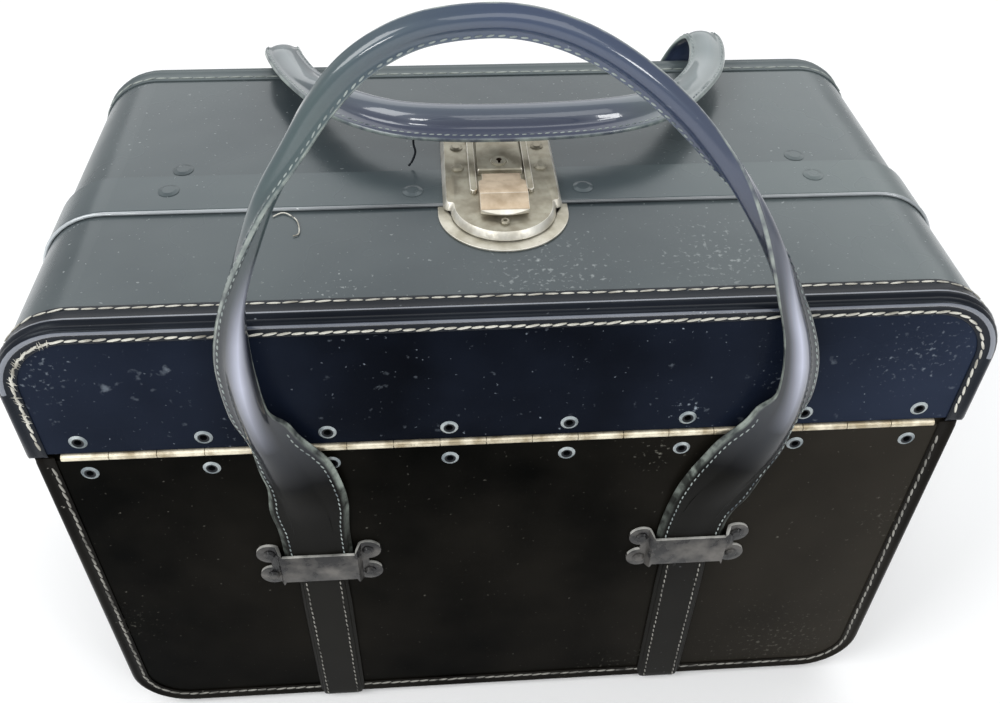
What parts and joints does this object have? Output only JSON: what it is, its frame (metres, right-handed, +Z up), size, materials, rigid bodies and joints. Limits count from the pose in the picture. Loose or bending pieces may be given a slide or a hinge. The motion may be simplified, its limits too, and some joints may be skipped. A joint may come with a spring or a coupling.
{
  "type": "camera case",
  "caption": "Hard leather camera case: twin arched lids open outward on piano hinges, with a thumb-slide lock, rolled handles and straps that wrap the underside.",
  "frame": {"origin": "middle of the case's footprint on the floor, under the straps", "axes": "+X to the right along the hinges, +Y to the back, +Z up"},
  "size_m": [0.3528, 0.2106, 0.3513],
  "materials": {
    "body_leather": "glossy, worn",
    "edge_leather": "glossy, worn",
    "lid_leather": "glossy, worn",
    "strap_leather": "glossy, worn",
    "handle_leather": "high gloss",
    "lining_cloth": "matte",
    "hinge_nickel": "aged, satin",
    "eyelet_nickel": "aged, satin",
    "black_enamel": "worn gloss",
    "dark_rivet": "worn gloss",
    "lock_nickel": "aged, satin"
  },
  "bodies": {
    "base": {"base_front_panel": "body_leather", "base_rear_panel": "body_leather", "base_gusset_band": "body_leather", "base_front_binding": "edge_leather", "base_rear_binding": "edge_leather", "under_strap_left": "strap_leather", "under_strap_right": "strap_leather", "base_lining": "lining_cloth", "front_hinge_tub_leaf": "hinge_nickel", "front_hinge_pin": "hinge_nickel", "rear_hinge_tub_leaf": "hinge_nickel", "rear_hinge_pin": "hinge_nickel", "front_hinge_tub_eyelets": "eyelet_nickel", "rear_hinge_tub_eyelets": "eyelet_nickel", "front_loop_left": "black_enamel", "front_loop_right": "black_enamel", "front_loop_rivets": "black_enamel", "rear_loop_left": "black_enamel", "rear_loop_right": "black_enamel", "rear_loop_rivets": "black_enamel"},
    "front_lid": {"front_lid_panel": "lid_leather", "front_lid_binding": "edge_leather", "front_lid_band": "lid_leather", "front_lid_lining": "lining_cloth", "front_hinge_lid_leaf": "hinge_nickel", "front_hinge_lid_eyelets": "eyelet_nickel", "striker_plate": "lock_nickel", "striker_keeper": "lock_nickel", "striker_rivets": "lock_nickel"},
    "rear_lid": {"rear_lid_panel": "lid_leather", "rear_lid_binding": "edge_leather", "rear_lid_band": "lid_leather", "rear_lid_lining": "lining_cloth", "rear_hinge_lid_leaf": "hinge_nickel", "rear_hinge_lid_eyelets": "eyelet_nickel", "lip_strip": "lid_leather", "lip_rivets": "dark_rivet", "rear_lid_rivets": "dark_rivet", "lock_plate": "lock_nickel", "lock_rivets": "lock_nickel", "lock_rails": "lock_nickel", "keyhole_housing": "lock_nickel", "lock_stud": "lock_nickel"},
    "latch": {"thumb_slide": "lock_nickel", "latch_tongue": "lock_nickel"},
    "key": {"key_plug": "lock_nickel"},
    "front_straps": {"front_strap_left": "handle_leather", "front_strap_right": "handle_leather"},
    "rear_straps": {"rear_strap_left": "handle_leather", "rear_strap_right": "handle_leather"},
    "front_grip": {"front_handle_grip": "handle_leather"},
    "rear_grip": {"rear_handle_grip": "handle_leather"}
  },
  "joints": [
    {"name": "rear_lid_open", "type": "hinge", "parent": "base", "child": "rear_lid", "pos_m": [0, 0.09, 0.1785], "axis": [-1, 0, 0], "range_deg": [0, 105]},
    {"name": "front_lid_open", "type": "hinge", "parent": "base", "child": "front_lid", "pos_m": [0, -0.09, 0.1785], "axis": [1, 0, 0], "range_deg": [0, 105]},
    {"name": "rear_strap_swing", "type": "hinge", "parent": "base", "child": "rear_straps", "pos_m": [0, 0.0915, 0.127], "axis": [-1, 0, 0], "range_deg": [0, 105]},
    {"name": "front_strap_swing", "type": "hinge", "parent": "base", "child": "front_straps", "pos_m": [0, -0.0915, 0.127], "axis": [1, 0, 0], "range_deg": [0, 105]},
    {"name": "front_handle_fold", "type": "hinge", "parent": "front_straps", "child": "front_grip", "pos_m": [0, -0.099, 0.247], "axis": [1, 0, 0], "range_deg": [-75, 20]},
    {"name": "rear_handle_fold", "type": "hinge", "parent": "rear_straps", "child": "rear_grip", "pos_m": [0, 0.099, 0.247], "axis": [1, 0, 0], "range_deg": [-100, 0]},
    {"name": "latch_slide", "type": "slide", "parent": "rear_lid", "child": "latch", "axis": [0, 1, 0], "range_m": [-0.0028, 0.003]},
    {"name": "key_turn", "type": "hinge", "parent": "rear_lid", "child": "key", "pos_m": [0.001, -0.0059, 0.246], "axis": [0, 0, 1], "range_deg": [0, 90]}
  ],
  "couplings": [
    {"joint": "front_lid_open", "follows": "rear_lid_open", "ratio": 1},
    {"joint": "rear_strap_swing", "follows": "rear_lid_open", "ratio": 1},
    {"joint": "front_strap_swing", "follows": "rear_lid_open", "ratio": 1}
  ]
}
